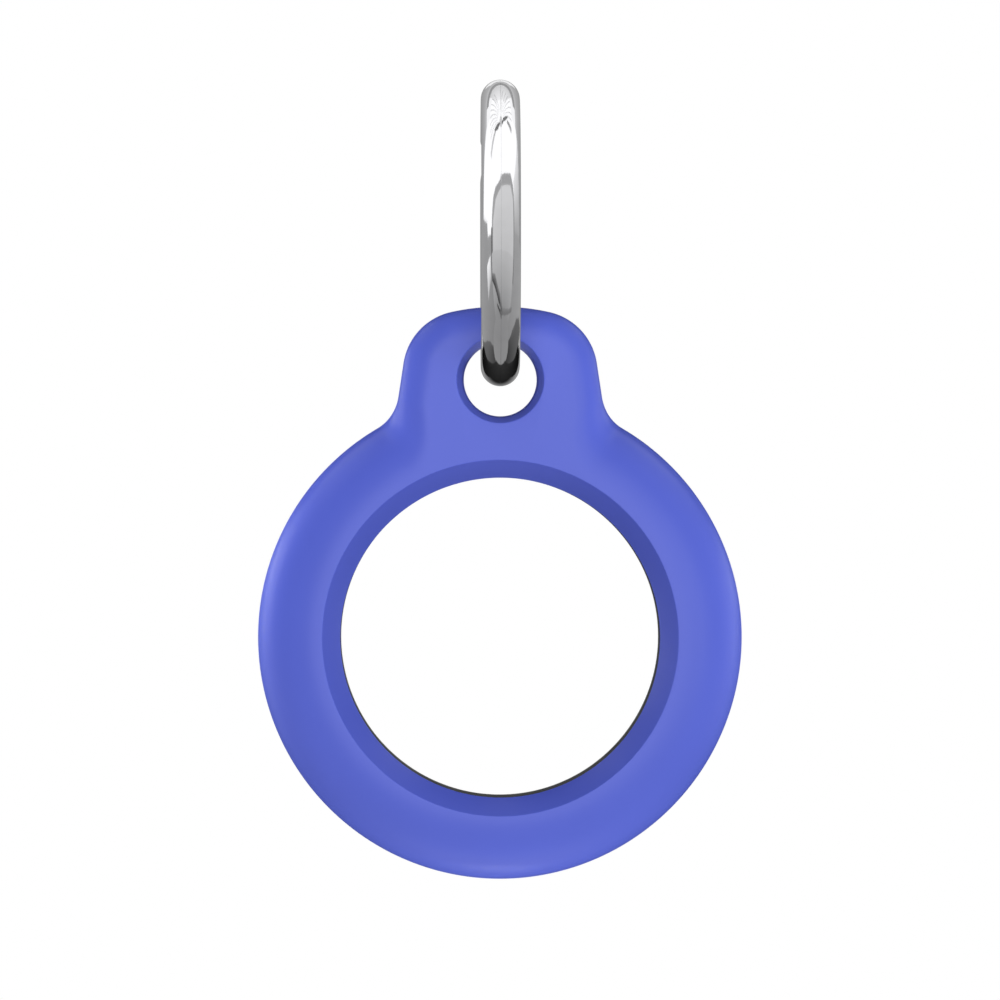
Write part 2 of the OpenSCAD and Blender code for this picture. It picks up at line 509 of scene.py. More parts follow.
def linear(red: int, green: int, blue: int) -> Colour:
    """Turns a screen colour into the linear colour that shaders use.

    Args:
        red: Its red, from 0 to 255.
        green: Its green.
        blue: Its blue.

    Returns:
        The linear colour.
    """
    def one(value: int) -> float:
        """Turns one channel by the sRGB curve."""
        s = value / 255
        return s / 12.92 if s <= 0.04045 else ((s + 0.055) / 1.055) ** 2.4
    return (one(red), one(green), one(blue))


def shade(colour: Colour, share: float) -> Colour:
    """Darkens or lightens a linear colour by a share."""
    return (colour[0] * share, colour[1] * share, colour[2] * share)


@dataclass(frozen=True)
class SatinPlastic:
    """Coloured plastic moulded in a finely eroded tool.

    Attributes:
        colour: Its linear colour.
        darkest: Share of the colour at its darkest.
        lightest: Share of the colour at its lightest.
        roughness: Middle roughness.
        roughness_spread: How far the roughness goes either way.
        ior: Refractive index.
        specular: Level of its mirrored light.
        grain: The tool's texture.
        flow: The faint unevenness of the skin.
        patches: Where the colour changes.
    """

    colour: Colour = linear(90, 105, 213)
    darkest: float = 0.985
    lightest: float = 1.015
    roughness: float = 0.36
    roughness_spread: float = 0.03
    ior: float = 1.49
    specular: float = 0.5
    grain: Texture = Texture(size=0.00011, octaves=2.0, keep=0.6, depth=0.0000022, strength=0.6)
    flow: Texture = Texture(size=0.004, octaves=1.0, keep=0.4, depth=0.000006, strength=0.25)
    patches: Texture = Texture(size=0.008, octaves=3.0, keep=0.5)

    def material(self) -> bpy.types.Material:
        """Builds the finish.

        Returns:
            The material.
        """
        sheet = FinishSheet("satin_plastic")
        place = sheet.place()
        grain = sheet.noise(place, self.grain)
        flow = sheet.noise(place, self.flow)
        sheet.tint(sheet.noise(place, self.patches), self.colour, self.darkest, self.lightest)
        sheet.roughen(grain, self.roughness, self.roughness_spread)
        sheet.relief([(flow, self.flow), (grain, self.grain)])
        sheet.fill(sheet.shader, {"IOR": self.ior, "Specular IOR Level": self.specular})
        return sheet.material


@dataclass(frozen=True)
class SoftRubber:
    """Dark grey elastomer with a dull skin.

    Attributes:
        colour: Its linear colour.
        darkest: Share of the colour at its darkest.
        lightest: Share of the colour at its lightest.
        roughness: Middle roughness.
        roughness_spread: How far the roughness goes either way.
        sheen: Weight of its pale bloom at a low angle.
        sheen_roughness: Roughness of that bloom.
        grain: Its texture.
        patches: Where the colour changes.
    """

    colour: Colour = linear(84, 84, 78)
    darkest: float = 0.92
    lightest: float = 1.08
    roughness: float = 0.72
    roughness_spread: float = 0.06
    sheen: float = 0.15
    sheen_roughness: float = 0.5
    grain: Texture = Texture(size=0.00009, octaves=3.0, keep=0.65, depth=0.000006, strength=0.7)
    patches: Texture = Texture(size=0.0018, octaves=2.0, keep=0.5)

    def material(self) -> bpy.types.Material:
        """Builds the finish.

        Returns:
            The material.
        """
        sheet = FinishSheet("soft_rubber")
        place = sheet.place()
        grain = sheet.noise(place, self.grain)
        sheet.tint(sheet.noise(place, self.patches), self.colour, self.darkest, self.lightest)
        sheet.roughen(grain, self.roughness, self.roughness_spread)
        sheet.relief([(grain, self.grain)])
        sheet.fill(sheet.shader, {"Sheen Weight": self.sheen, "Sheen Roughness": self.sheen_roughness})
        return sheet.material


@dataclass(frozen=True)
class PolishedSteel:
    """Polished spring wire, with faint lines along it from drawing and buffing.

    Attributes:
        colour: Its linear colour.
        darkest: Share of the colour at its darkest.
        lightest: Share of the colour at its lightest.
        roughness: Middle roughness.
        roughness_spread: How far the roughness goes either way.
        stretch: Scale of the lines along the wire and round it.
        lines: The lines, on the unrolled wire.
        dabs: Where the colour changes.
    """

    colour: Colour = linear(245, 245, 247)
    darkest: float = 0.97
    lightest: float = 1.02
    roughness: float = 0.07
    roughness_spread: float = 0.03
    stretch: Point3 = (1.5, 60.0, 1.0)
    lines: Texture = Texture(size=0.25, octaves=3.0, keep=0.6, depth=0.0000012, strength=0.3)
    dabs: Texture = Texture(size=1 / 900, octaves=2.0, keep=0.5)

    def material(self) -> bpy.types.Material:
        """Builds the finish.

        Returns:
            The material.
        """
        sheet = FinishSheet("polished_steel")
        lines = sheet.noise(sheet.place(self.stretch, Coordinates.UNROLLED), self.lines)
        sheet.tint(sheet.noise(sheet.place(), self.dabs), self.colour, self.darkest, self.lightest)
        sheet.roughen(lines, self.roughness, self.roughness_spread)
        sheet.relief([(lines, self.lines)])
        sheet.fill(sheet.shader, {"Metallic": 1.0})
        return sheet.material


@dataclass
class Piece:
    """A piece of the holder, which stands for one CAD node.

    Attributes:
        name: Name of the visual piece.
        node: CAD node that it replaces.
        rides_on: Body that it moves with.
        slot: Material slot of its finish. Not used.
        mirrored: Whether the polished ring shows it.
        sharpest: Angle from which its edges stay sharp, in degrees.
    """

    name: str
    node: str
    rides_on: CadBody
    slot: FinishSlot
    mirrored: bool = True
    sharpest: float = 32.0

    def build(self) -> bpy.types.Object:
        """Builds the piece's mesh."""
        raise NotImplementedError

    def dress(self, obj: bpy.types.Object, material: bpy.types.Material) -> bpy.types.Object:
        """Gives a built piece its finish and ties it to the frame.

        Args:
            obj: The piece.
            material: Its material.

        Returns:
            The same piece.
        """
        smooth(obj, self.sharpest)
        obj.data.materials.clear()
        obj.data.materials.append(material)
        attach(obj, self.rides_on.value)
        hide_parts(self.node)
        obj.visible_glossy = self.mirrored
        LOG.info("%s: %d faces, rides on %s", obj.name, len(obj.data.polygons), self.rides_on.value)
        return obj


@dataclass(frozen=True)
class PocketFit:
    """Sizes that the moulded pieces share, in millimetres.

    Attributes:
        pocket_r: Radius of the tag's pocket.
        body_r: Outer radius of the round body.
        face_z: Height of the front and rear faces from the middle plane.
        window_r: Radius of the window.
        rim_r: Radius at which the window's bevel meets the face.
        lip_z: Height of the lip's inner face at the window.
        edge_z: Height of the lip's inner face at the pocket's wall.
        lip_edge: Height of the straight edge at the window.
        step_z: Height of the step on which the collar stands.
        recess_z: Height of the recess's floor.
        recess_r: Radius of the cap's recess.
        ledge_r: Radius inside the ledge.
        collar_r: Outer radius of the cap's collar.
        bayonet_start: Angle of the first bayonet lug.
        bayonet_count: Number of bayonet lugs.
        bayonet_span: Width of a bayonet lug, in degrees.
        bayonet_root: How far a lug, or the tool of its groove, reaches in past the collar's outside.
        rim_rounding: Rounding of a rim between face and bevel.
        edge_rounding: Rounding of the small edges.
    """

    pocket_r: float = 16.05
    body_r: float = 20.0
    face_z: float = 5.3
    window_r: float = 13.15
    rim_r: float = 14.6
    lip_z: float = 2.95
    edge_z: float = 1.95
    lip_edge: float = 0.2
    step_z: float = -0.3
    recess_z: float = -2.6
    recess_r: float = 17.55
    ledge_r: float = 16.98
    collar_r: float = 16.9
    bayonet_start: float = 10.0
    bayonet_count: int = 3
    bayonet_span: float = 14.0
    bayonet_root: float = 0.3
    rim_rounding: float = 0.14
    edge_rounding: float = 0.05

    @property
    def dome_r(self) -> float:
        """Radius of the body's round section."""
        return self.face_z

    @property
    def dome_mid(self) -> float:
        """Distance from the axis to the middle of the round section."""
        return self.body_r - self.dome_r

    def bayonet_angles(self) -> list[float]:
        """Middle angles of the bayonet lugs."""
        return [self.bayonet_start + 360 * i / self.bayonet_count for i in range(self.bayonet_count)]


@dataclass(frozen=True)
class Station:
    """A place on the holder's outline.

    Attributes:
        point: The point, in the front view.
        inward: Direction across the section, inwards.
        lug: Share of the lug's own edge, from 0 on the round body to 1.
    """

    point: Vector
    inward: Vector
    lug: float

    def mirrored(self) -> "Station":
        """The same place on the left half."""
        point, inward = Vector((-self.point.x, self.point.y)), Vector((-self.inward.x, self.inward.y))
        return Station(point, inward, self.lug)


@dataclass
class BodyShell(Piece):
    """The blue moulded body: a domed ring round the window, and the lug with its hole.

    Attributes:
        fit: Sizes shared with the other moulded pieces.
        lug_rise: Height of the lug's crown over the round body.
        lug_t: Thickness of the lug.
        crown_r: Radius of the crown.
        corner_r: Radius of the lug's corners.
        corner_x: Half the distance between the corners' centres.
        flank_lean: Lean of the flanks, in degrees.
        shoulder_r: Radius of the shoulders between lug and body.
        root_rounding: Fillet between the lug's back and the round body.
        hole_y: Height of the hole's centre in the front view.
        hole_r: Radius of the hole at its waist.
        hole_mouth_r: Radius of the hole at the foot of its bevels.
        hole_rim_r: Radius of the hole at the faces.
        hole_bevel_depth: Depth of the hole's bevels, more than the CAD's to show them as dark as they are.
        hole_waist_rounding: Rounding of the hole's waist.
        tool_lift: How far over a face the hole's tool begins to narrow to the rim.
        tool_flare: How much wider than the rim it is before that.
        tool_overrun: How far it goes on past the faces.
        groove_r: Outer radius of the bayonet grooves.
        groove_z: Height of the grooves' rear wall.
        groove_overlap: How far the tool of an entry slot goes past its ends.
        twist: Twist from open to locked, in degrees.
        play: Side play of a bayonet lug, in degrees.
        recess_margin: Angle between the dome's last point and the recess's edge, in degrees.
        shoulder_steps: Steps along a shoulder.
        corner_steps: Steps along a corner.
        crown_steps: Steps along half the crown.
        body_steps: Steps along the round outline.
        front_steps: Steps across the front edge.
        nose_steps: Steps across the lug's rear edge.
        root_steps: Steps across the fillet at the lug's back.
        dome_steps: Steps across the rear dome.
        hole_steps: Steps round the hole.
        lock_steps: Steps along a groove.
        entry_steps: Steps along an entry slot.
    """

    fit: PocketFit = PocketFit()
    lug_rise: float = 7.23
    lug_t: float = 5.0
    crown_r: float = 18.7
    corner_r: float = 5.07
    corner_x: float = 2.94
    flank_lean: float = 8.6
    shoulder_r: float = 3.6
    root_rounding: float = 0.8
    hole_y: float = 21.2
    hole_r: float = 2.98
    hole_mouth_r: float = 3.16
    hole_rim_r: float = 3.57
    hole_bevel_depth: float = 1.15
    hole_waist_rounding: float = 2.0
    tool_lift: float = 0.02
    tool_flare: float = 0.2
    tool_overrun: float = 1.0
    groove_r: float = 17.45
    groove_z: float = -1.5
    groove_overlap: float = 0.2
    twist: float = 40.0
    play: float = 1.0
    recess_margin: float = 2.0
    shoulder_steps: int = 30
    corner_steps: int = 22
    crown_steps: int = 8
    body_steps: int = 200
    front_steps: int = 22
    nose_steps: int = 10
    root_steps: int = 6
    dome_steps: int = 16
    hole_steps: int = 128
    lock_steps: int = 24
    entry_steps: int = 8

    @property
    def nose_r(self) -> float:
        """Radius of the lug's rounded edge."""
        return self.lug_t / 2

    @property
    def lug_mid_z(self) -> float:
        """Height of the lug's middle plane."""
        return self.fit.face_z - self.nose_r

    @property
    def lug_rear_z(self) -> float:
        """Height of the lug's flat back."""
        return self.fit.face_z - self.lug_t

    def right_half(self) -> tuple[list[Station], float]:
        """Draws the right half of the lug, from the shoulder to the crown's middle.

        Returns:
            Its stations, and the angle at which the shoulder leaves the round body, in degrees.
        """
        crown_y = self.fit.body_r + self.lug_rise - self.crown_r
        corner_y = crown_y + math.sqrt((self.crown_r - self.corner_r) ** 2 - self.corner_x ** 2)
        corner = Vector((self.corner_x, corner_y))
        crown_turn = math.degrees(math.atan2(corner_y - crown_y, self.corner_x))
        flank_in = -unit(self.flank_lean)
        flank_down = Vector((-flank_in.y, flank_in.x))
        far = corner - (self.corner_r + self.shoulder_r) * flank_in
        reach = far.dot(flank_down)
        drop = reach ** 2 + (self.fit.body_r + self.shoulder_r) ** 2 - far.dot(far)
        shoulder = far - (reach + math.sqrt(drop)) * flank_down
        turn = angle_of(shoulder)
        stations: list[Station] = []
        for i in range(self.shoulder_steps + 1):
            share = i / self.shoulder_steps
            way = unit(mix(180 + turn, 180 + self.flank_lean, share))
            stations.append(Station(shoulder + self.shoulder_r * way, way, ease(share)))
        for i in range(self.corner_steps + 1):
            way = unit(mix(self.flank_lean, crown_turn, i / self.corner_steps))
            stations.append(Station(corner + self.corner_r * way, -way, 1.0))
        for i in range(1, self.crown_steps + 1):
            way = unit(mix(crown_turn, 90, i / self.crown_steps))
            stations.append(Station(Vector((0, crown_y)) + self.crown_r * way, -way, 1.0))
        return stations, turn

    def outline(self) -> list[Station]:
        """Draws the whole outline.

        Returns:
            Its stations, anticlockwise from the right shoulder.
        """
        right, turn = self.right_half()
        left = [station.mirrored() for station in reversed(right[:-1])]
        around: list[Station] = []
        for i in range(1, self.body_steps):
            way = unit(mix(180 - turn, 360 + turn, i / self.body_steps))
            around.append(Station(self.fit.body_r * way, -way, 0.0))
        return right + left + around

    def front_edge(self, s: Station) -> list[Point3]:
        """Draws the front of a section, from the flat face out to the outline.

        Args:
            s: Where the section stands.

        Returns:
            Its points in the front view.
        """
        width = mix(self.fit.dome_r, self.nose_r, s.lug)
        middle = mix(0.0, self.lug_mid_z, s.lug)
        points: list[Point3] = []
        for k in range(self.front_steps + 1):
            turn = 90 * (1 - k / self.front_steps)
            p = s.point + width * inset(turn) * s.inward
            points.append((p.x, p.y, mix(middle, self.fit.face_z, math.sin(math.radians(turn)))))
        return points

    def dome_end(self) -> float:
        """Angle at which the rear dome meets the rounding of the recess's edge, in degrees."""
        at_edge = math.degrees(math.acos((self.fit.recess_r - self.fit.dome_mid) / self.fit.dome_r))
        return at_edge - self.recess_margin

    def rear_side(self, s: Station) -> list[Point3]:
        """Draws the rear of a section, from the outline to the recess's edge.

        In plan the points run straight from the outline to the top of the dome, so the skin never folds.

        Args:
            s: Where the section stands.

        Returns:
            Its points in the front view.
        """
        f, root = self.fit, self.root_rounding
        width = mix(f.dome_r, self.nose_r, s.lug)
        middle = mix(0.0, self.lug_mid_z, s.lug)
        back = middle - width
        way = f.dome_mid * self.radial(s) - s.point
        lean = math.sqrt(max((f.dome_r + root) ** 2 - (back - root) ** 2, 0.0))
        fillet_r = f.dome_mid + lean
        foot_r = f.dome_mid + f.dome_r * lean / (f.dome_r + root)
        foot_turn = math.degrees(math.acos((foot_r - f.dome_mid) / f.dome_r))

        def share_at(r: float) -> float:
            """Share of the way at which it comes in to a radius."""
            b, c = s.point.dot(way), s.point.length_squared - r * r
            return max(0.0, (-b - math.sqrt(max(b * b - way.length_squared * c, 0.0))) / way.length_squared)

        def height(share: float) -> float:
            """Height of the lug's back, its fillet or the dome at a share of the way.

            Args:
                share: The share of the way in.

            Returns:
                The height in the front view.
            """
            r = (s.point + share * way).length
            left = max(0.0, 1 - share * way.length / width)
            z = middle - width * math.sqrt(1 - left * left)
            dome = -math.sqrt(max(f.dome_r ** 2 - (r - f.dome_mid) ** 2, 0.0))
            if foot_r < r < fillet_r:
                z += math.sqrt(root ** 2 - (fillet_r - r) ** 2) - root
            elif r <= foot_r:
                z += dome - back
            return min(z, dome) if r < f.body_r else z

        end = self.dome_end()
        total = self.nose_steps + self.root_steps + 1 + self.dome_steps
        last = share_at(f.dome_mid + f.dome_r * math.cos(math.radians(end))) if s.lug > 0 else inset(end)
        body = [last * inset(end * k / total) / inset(end) for k in range(1, total + 1)]
        nose = min(self.nose_r / way.length, share_at(fillet_r))
        lug = [nose * inset(90 * k / self.nose_steps) for k in range(1, self.nose_steps + 1)]
        for k in range(self.root_steps + 1):
            lug.append(share_at(mix(fillet_r, foot_r, math.sin(math.radians(90 * k / self.root_steps)))))
        for k in range(1, self.dome_steps + 1):
            turn = math.radians(mix(foot_turn, end, k / self.dome_steps))
            lug.append(share_at(f.dome_mid + f.dome_r * math.cos(turn)))
        points: list[Point3] = []
        for on_body, on_lug in zip(body, lug):
            share = mix(on_body, on_lug, s.lug)
            p = s.point + share * way
            points.append((p.x, p.y, height(share)))
        return points

    def radial(self, s: Station) -> Vector:
        """Direction from the axis in which a station's section stands."""
        width = mix(self.fit.dome_r, self.nose_r, s.lug)
        return (s.point + width * s.inward).normalized()

    def cavity(self) -> list[Point2]:
        """Draws everything inside, from the recess's edge forwards to the rim.

        Returns:
            Points (radius, height), without the two ends, which lie on the dome and on the face.
        """
        f, small = self.fit, self.fit.edge_rounding
        end = math.radians(self.dome_end())
        edge_z = -math.sqrt(f.dome_r ** 2 - (f.recess_r - f.dome_mid) ** 2)
        corners = [
            Corner(f.dome_mid + f.dome_r * math.cos(end), -f.dome_r * math.sin(end)),
            Corner(f.recess_r, edge_z, 2 * small),
            Corner(f.recess_r, f.recess_z, small, HIDDEN_STEPS),
            Corner(f.ledge_r, f.recess_z, small, SMALL_STEPS),
            Corner(f.ledge_r, f.step_z, small, HIDDEN_STEPS),
            Corner(f.pocket_r, f.step_z, small, SMALL_STEPS),
            Corner(f.pocket_r, f.edge_z, 2 * small, SMALL_STEPS),
            Corner(f.window_r, f.lip_z, small, SMALL_STEPS),
            Corner(f.window_r, f.lip_z + f.lip_edge, small, SMALL_STEPS),
            Corner(f.rim_r, f.face_z, f.rim_rounding, RIM_STEPS),
            Corner(f.dome_mid, f.face_z),
        ]
        return rounded(corners, closed=False)[1:-1]

    def hole_tool(self) -> bpy.types.Object:
        """Makes the tool that cuts the lug's hole, with its bevels and their soft rims.

        Returns:
            The tool.
        """
        front, back = self.fit.face_z, self.lug_rear_z
        soft, lift = self.fit.rim_rounding, self.tool_lift
        flared_r = self.hole_rim_r + self.tool_flare
        corners = [
            Corner(flared_r, front + self.tool_overrun),
            Corner(flared_r, front + lift),
            Corner(self.hole_rim_r, front - lift / 2, soft, RIM_STEPS),
            Corner(self.hole_mouth_r, front - self.hole_bevel_depth, soft, SMALL_STEPS),
            Corner(self.hole_r, self.lug_mid_z, self.hole_waist_rounding),
            Corner(self.hole_mouth_r, back + self.hole_bevel_depth, soft, SMALL_STEPS),
            Corner(self.hole_rim_r, back + lift / 2, soft, RIM_STEPS),
            Corner(flared_r, back - lift),
            Corner(self.hole_mouth_r, back - lift),
            Corner(self.hole_mouth_r, -self.fit.face_z - self.tool_overrun),
        ]
        return plug("hole_tool", rounded(corners, closed=False), self.hole_steps, (0.0, self.hole_y))

    def build(self) -> bpy.types.Object:
        """Lofts the shell over its outline and cuts the hole and the bayonet grooves.

        Returns:
            The shell.
        """
        f, cavity, stations = self.fit, self.cavity(), self.outline()
        points: list[Vector] = []
        for s in stations:
            out = self.radial(s)
            section = self.front_edge(s) + self.rear_side(s) + [(r * out.x, r * out.y, z) for r, z in cavity]
            points += [front_to_world(p) for p in section]
        faces = grid_faces(len(stations), len(points) // len(stations), True, True)
        obj = mesh_object(self.name, points, faces)
        combine(obj, self.hole_tool(), Joining.CUT)
        half = f.bayonet_span / 2 + self.play
        radii = (f.collar_r - f.bayonet_root, self.groove_r)
        entry_heights = (f.recess_z - self.groove_overlap, self.groove_z + self.groove_overlap)
        for a in f.bayonet_angles():
            lock = arc_block("lock", radii, (self.groove_z, f.step_z), (a - half, a + self.twist + half),
                             self.lock_steps)
            entry = arc_block("entry", radii, entry_heights, (a - half, a + half), self.entry_steps)
            combine(obj, lock, Joining.CUT)
            combine(obj, entry, Joining.CUT)
        return obj


@dataclass
class RearCap(Piece):
    """The blue cap that closes the pocket from behind, with its collar and bayonet lugs.

    Attributes:
        fit: Sizes shared with the other moulded pieces.
        collar_in_r: Inner radius of the collar.
        cap_r: Outer radius of the flange.
        bayonet_r: Outer radius of the bayonet lugs.
        bayonet_z: Height of the lugs' rear face.
        bayonet_setback: How far the lugs' front face lies behind the collar's front edge.
        collar_z: Height of the collar's front edge.
        flange_z: Height of the flange's front face.
        seat_z: Height of the seat behind the cushion.
        cap_window_r: Radius of the cap's window.
        dome_steps: Steps across the dome.
        bayonet_steps: Steps along a bayonet lug.
    """

    fit: PocketFit = PocketFit()
    collar_in_r: float = 16.25
    cap_r: float = 17.45
    bayonet_r: float = 17.35
    bayonet_z: float = -1.4
    bayonet_setback: float = 0.06
    collar_z: float = -0.4
    flange_z: float = -2.7
    seat_z: float = -3.53
    cap_window_r: float = 13.35
    dome_steps: int = 24
    bayonet_steps: int = 12

    def profile(self) -> list[Point2]:
        """Draws the cap's section.

        Returns:
            Points (radius, height).
        """
        f, small = self.fit, self.fit.edge_rounding
        first = math.acos((self.cap_r - f.dome_mid) / f.dome_r)
        dome: list[Corner] = []
        for k in range(self.dome_steps + 1):
            a = mix(first, math.pi / 2, k / self.dome_steps)
            dome.append(Corner(f.dome_mid + f.dome_r * math.cos(a), -f.dome_r * math.sin(a)))
        dome[0] = replace(dome[0], radius=2 * small)
        return rounded([
            Corner(self.collar_in_r, self.collar_z, small),
            Corner(f.collar_r, self.collar_z, small),
            Corner(f.collar_r, self.flange_z, small, HIDDEN_STEPS),
            Corner(self.cap_r, self.flange_z, small),
            *dome,
            Corner(f.rim_r, -f.face_z, f.rim_rounding, RIM_STEPS),
            Corner(self.cap_window_r, self.seat_z - f.lip_edge, small),
            Corner(self.cap_window_r, self.seat_z, small),
            Corner(self.collar_in_r, self.seat_z, small, HIDDEN_STEPS),
        ])

    def build(self) -> bpy.types.Object:
        """Turns the cap on its axis and joins its bayonet lugs on.

        Returns:
            The cap.
        """
        f, half = self.fit, self.fit.bayonet_span / 2
        obj = lathe(self.name, self.profile())
        radii = (f.collar_r - f.bayonet_root, self.bayonet_r)
        heights = (self.bayonet_z, self.collar_z - self.bayonet_setback)
        for a in f.bayonet_angles():
            lug = arc_block("lug", radii, heights, (a - half, a + half), self.bayonet_steps)
            combine(obj, lug, Joining.ADD)
        return obj


@dataclass
class CushionRing(Piece):
    """The dark soft ring that presses the tag against the front lip.

    Attributes:
        sharpest: Angle from which its edges stay sharp, in degrees.
        inner_r: Inner radius.
        outer_r: Outer radius.
        inner_z: Height of its front face at the inner edge.
        outer_z: Height of its front face at the outer edge.
        back_z: Height of its back.
        edge_rounding: Rounding of its edges.
        edge_steps: Steps across each rounding.
    """

    sharpest: float = 40.0
    inner_r: float = 13.18
    outer_r: float = 15.95
    inner_z: float = -2.94
    outer_z: float = -1.984
    back_z: float = -3.45
    edge_rounding: float = 0.09
    edge_steps: int = 5

    def build(self) -> bpy.types.Object:
        """Turns the cushion on its axis.

        Returns:
            The cushion.
        """
        front = [(self.inner_r, self.inner_z), (self.outer_r, self.outer_z)]
        back = [(self.outer_r, self.back_z), (self.inner_r, self.back_z)]
        corners = [Corner(r, z, self.edge_rounding, self.edge_steps) for r, z in front + back]
        return lathe(self.name, rounded(corners))


@dataclass(frozen=True)
class WirePlace:
    """A place along the key ring's wire.

    Attributes:
        along: Distance along the middle line from the crossing's middle.
        low: Where the wire begins across the ring.
        high: Where it ends across the ring.
        shrink: How far its outline stands in, at the wire's rounded ends.
    """

    along: float
    low: float
    high: float
    shrink: float = 0.0

    def mirrored(self, end: float) -> "WirePlace":
        """The same place on the other turn, counted back from the far end."""
        return WirePlace(end - self.along, -self.high, -self.low, self.shrink)


@dataclass
class KeyRing(Piece):
    """The split ring: one wire wound twice, that crosses from one turn to the other behind.

    Attributes:
        sharpest: Angle from which its edges stay sharp, in degrees.
        wire_r: Radius of the two turns together.
        mid_r: Radius of the wire's middle line.
        centre: Centre of the ring in the frame.
        gap: Gap between the two turns.
        crossing: Length over which the wire crosses.
        crossing_angle: Place of the crossing, in degrees up from the rear.
        edge_rounding: Rounding of the wire's edges.
        end_rounding: Rounding of the wire's two ends.
        end_steps: Steps in each end's rounding.
        turn_steps: Steps along each turn.
        crossing_steps: Steps along the crossing.
        section_steps: Steps round the section.
    """

    sharpest: float = 50.0
    wire_r: float = 1.6
    mid_r: float = 11.0
    centre: Point3 = (0.0, -2.8, 33.28)
    gap: float = 0.004
    crossing: float = 4.2
    crossing_angle: float = 35.0
    edge_rounding: float = 0.012
    end_rounding: float = 0.12
    end_steps: int = 5
    turn_steps: int = 260
    crossing_steps: int = 24
    section_steps: int = 64

    def section(self, place: WirePlace) -> list[Point2]:
        """Draws the wire's section.

        Args:
            place: Where it stands along the wire.

        Returns:
            Points (across, outwards).
        """
        soft = self.edge_rounding
        inner_r = self.wire_r - soft - place.shrink
        low, high = place.low + soft + place.shrink, place.high - soft - place.shrink
        points: list[Point2] = []
        for k in range(self.section_steps):
            way = unit(360 * (k + 0.5) / self.section_steps)
            across = inner_r * way.x
            out = inner_r * way.y
            if not low <= across <= high:
                across = max(low, min(high, across))
                out = math.copysign(math.sqrt(max(inner_r ** 2 - across ** 2, 0.0)), way.y)
            points.append((across + soft * way.x, out + soft * way.y))
        return points

    def point_at(self, along: float, across: float, outwards: float) -> Vector:
        """Puts a point of the wire into the frame.

        Args:
            along: Distance along the middle line from the crossing's middle.
            across: Distance from the ring's plane.
            outwards: Distance from the middle line, away from the centre.

        Returns:
            The point, in metres.
        """
        way = unit(self.crossing_angle + math.degrees(along / self.mid_r))
        r = self.mid_r + outwards
        return Vector((self.centre[0] + across, self.centre[1] + r * way.x, self.centre[2] + r * way.y)) * MM

    def course(self) -> list[WirePlace]:
        """Lays out the wire, one turn, the crossing and the other turn.

        Returns:
            Places from end to end.
        """
        half_gap, half = self.gap / 2, self.crossing / 2
        whole = 2 * math.pi * self.mid_r
        turn: list[WirePlace] = []
        for k in range(self.end_steps):
            a = 90 * k / self.end_steps
            shrink = self.end_rounding * (1 - math.sin(math.radians(a)))
            turn.append(WirePlace(half + self.end_rounding * inset(a), -self.wire_r, -half_gap, shrink))
        for k in range(self.turn_steps + 1):
            along = mix(half + self.end_rounding, whole - half, k / self.turn_steps)
            turn.append(WirePlace(along, -self.wire_r, -half_gap))
        crossing: list[WirePlace] = []
        for k in range(1, self.crossing_steps):
            t = k / self.crossing_steps
            low, high = mix(-self.wire_r, half_gap, ease(t)), mix(-half_gap, self.wire_r, ease(t))
            crossing.append(WirePlace(whole + mix(-half, half, t), low, high))
        return turn + crossing + [place.mirrored(2 * whole) for place in reversed(turn)]

    def build(self) -> bpy.types.Object:
        """Sweeps the wire along its course and closes its ends.

        Returns:
            The ring.
        """
        course, n = self.course(), self.section_steps
        points: list[Vector] = []
        for place in course:
            points += [self.point_at(place.along, across, out) for across, out in self.section(place)]
        faces = grid_faces(len(course), n, False, True) + end_faces(len(course), n)
        obj = mesh_object(self.name, points, faces)
        self.unroll(obj, course)
        return obj

    def unroll(self, obj: bpy.types.Object, course: list[WirePlace]) -> None:
        """Lays the wire's surface out flat, along the wire and round it, for the drawn lines.

        Args:
            obj: The ring.
            course: The places that its sections stand at.
        """
        layer = obj.data.uv_layers.new(name="along_wire")
        for loop in obj.data.loops:
            ring, k = divmod(loop.vertex_index, self.section_steps)
            layer.data[loop.index].uv = (course[ring].along / self.mid_r, k / self.section_steps)


RING_MIDDLE = Vector(KeyRing.centre) * MM


@dataclass(frozen=True)
class Viewpoint:
    """The photograph's camera.

    Attributes:
        place: Where it stands.
        yaw: Turn to the right from looking along +Y, in degrees.
        lens: Focal length in millimetres.
        sensor: Width of the sensor in millimetres.
        nearest: Nearest distance that it shows.
    """

    place: Point3 = (-0.0041, -0.547, 0.01132)
    yaw: float = 0.43
    lens: float = 238.1
    sensor: float = 36.0
    nearest: float = 0.01

    def build(self) -> bpy.types.Object:
        """Adds the camera and makes it the scene's own.

        Returns:
            The camera.
        """
        data = bpy.data.cameras.new("camera")
        data.lens = self.lens
        data.sensor_width = self.sensor
        data.clip_start = self.nearest
        camera = bpy.data.objects.new("camera", data)
        camera.location = self.place
        camera.rotation_euler = (math.radians(90), 0.0, -math.radians(self.yaw))
        bpy.context.scene.collection.objects.link(camera)
        bpy.context.scene.camera = camera
        return camera


